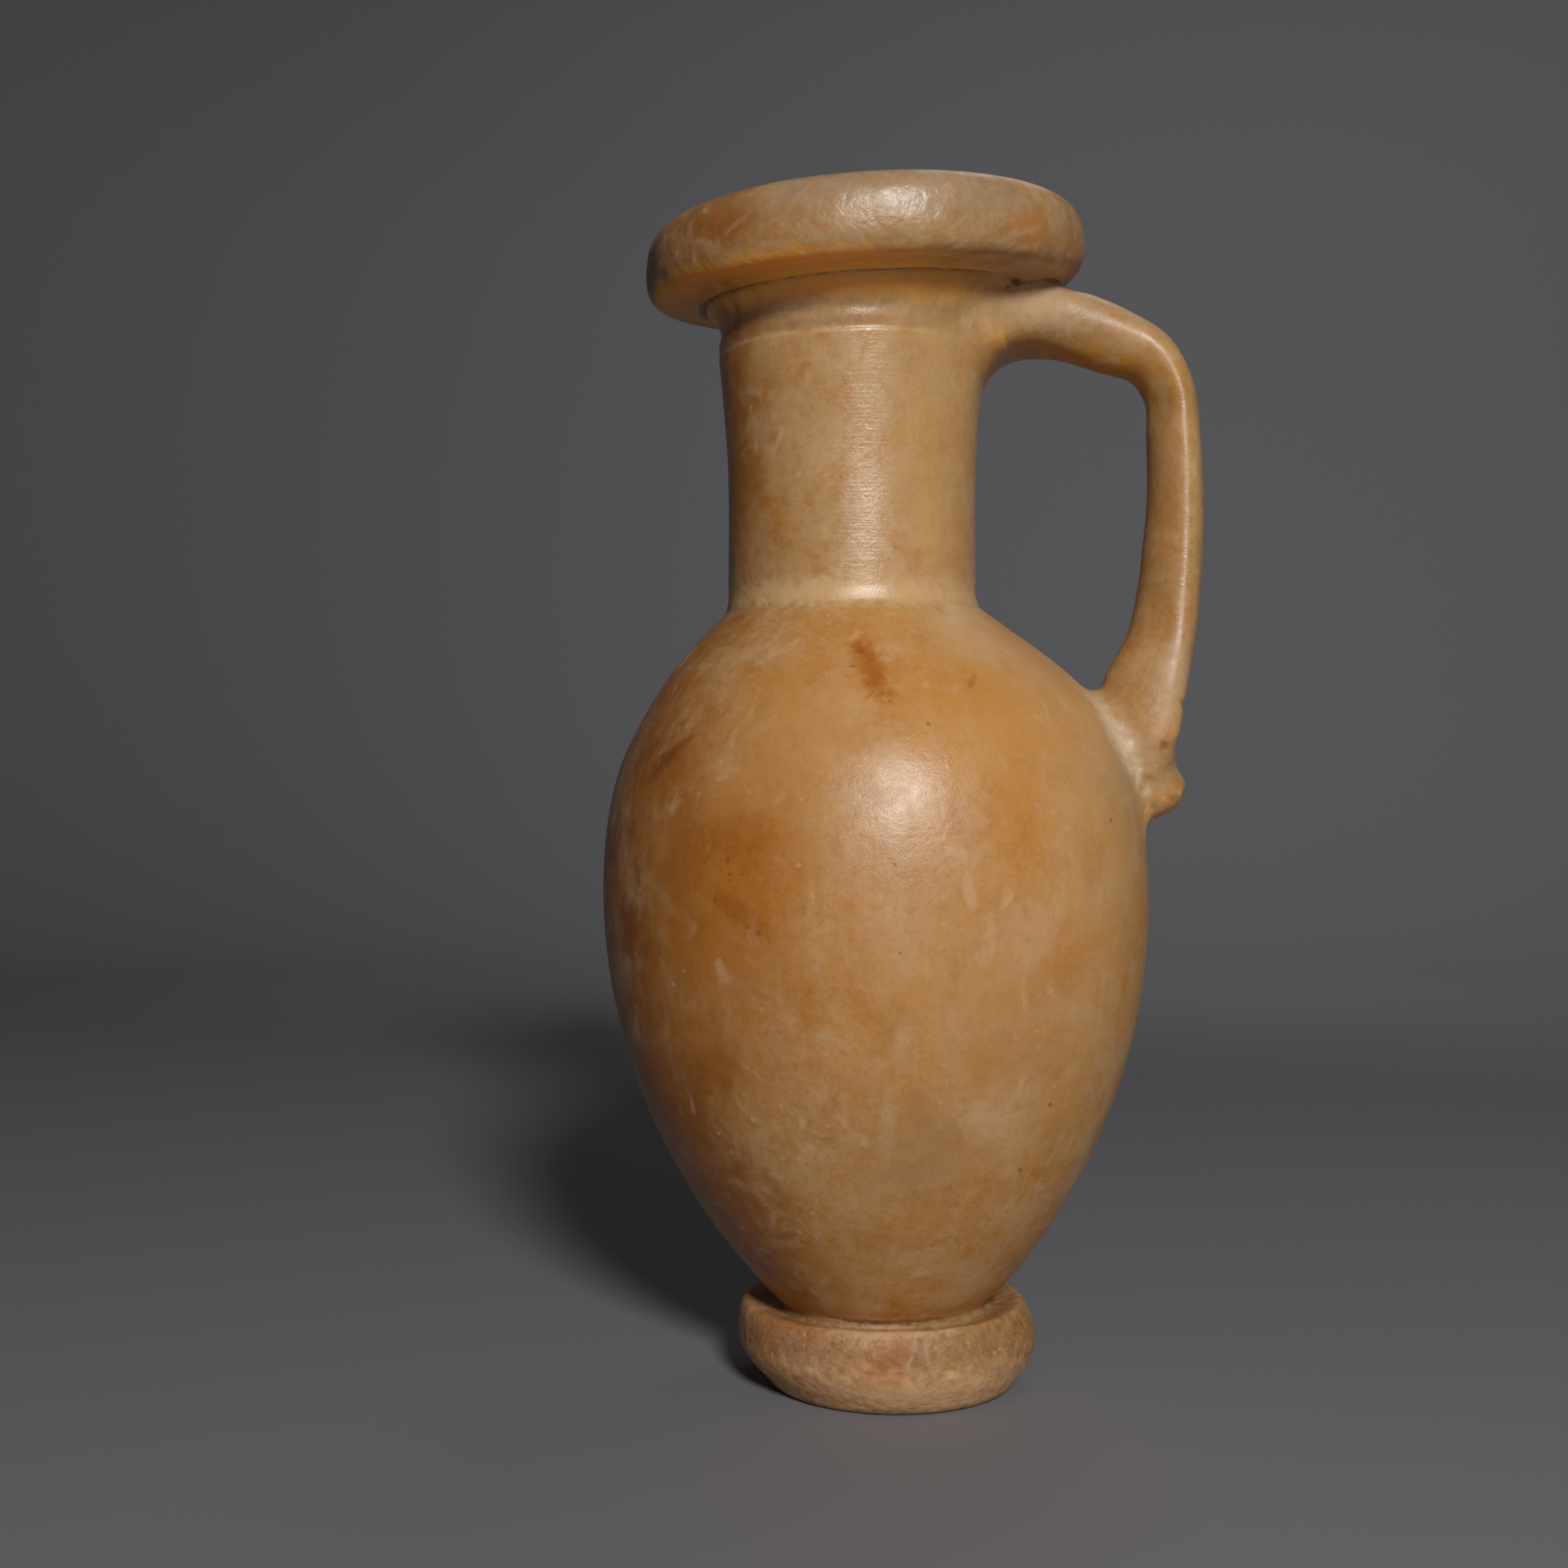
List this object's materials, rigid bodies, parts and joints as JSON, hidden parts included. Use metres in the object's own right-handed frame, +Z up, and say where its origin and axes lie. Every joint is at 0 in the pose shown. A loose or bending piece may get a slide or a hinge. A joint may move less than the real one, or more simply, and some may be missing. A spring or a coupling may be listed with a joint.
{
  "type": "alabaster pitcher",
  "caption": "Ancient alabaster pitcher: hollow egg-shaped body on a flanged foot, straight neck, thick rounded lip and a strap handle, for holding and pouring oil or wine.",
  "frame": {"origin": "centre of the foot, on its flat underside", "axes": "+Z up along the vessel, +X towards the handle, +Y away from the side that is seen with the handle on the right"},
  "size_m": [0.1255, 0.1136, 0.2438],
  "materials": {
    "alabaster": "worn polish, honey coloured, slightly translucent"
  },
  "bodies": {
    "root": {"pitcher": "alabaster"}
  },
  "joints": []
}
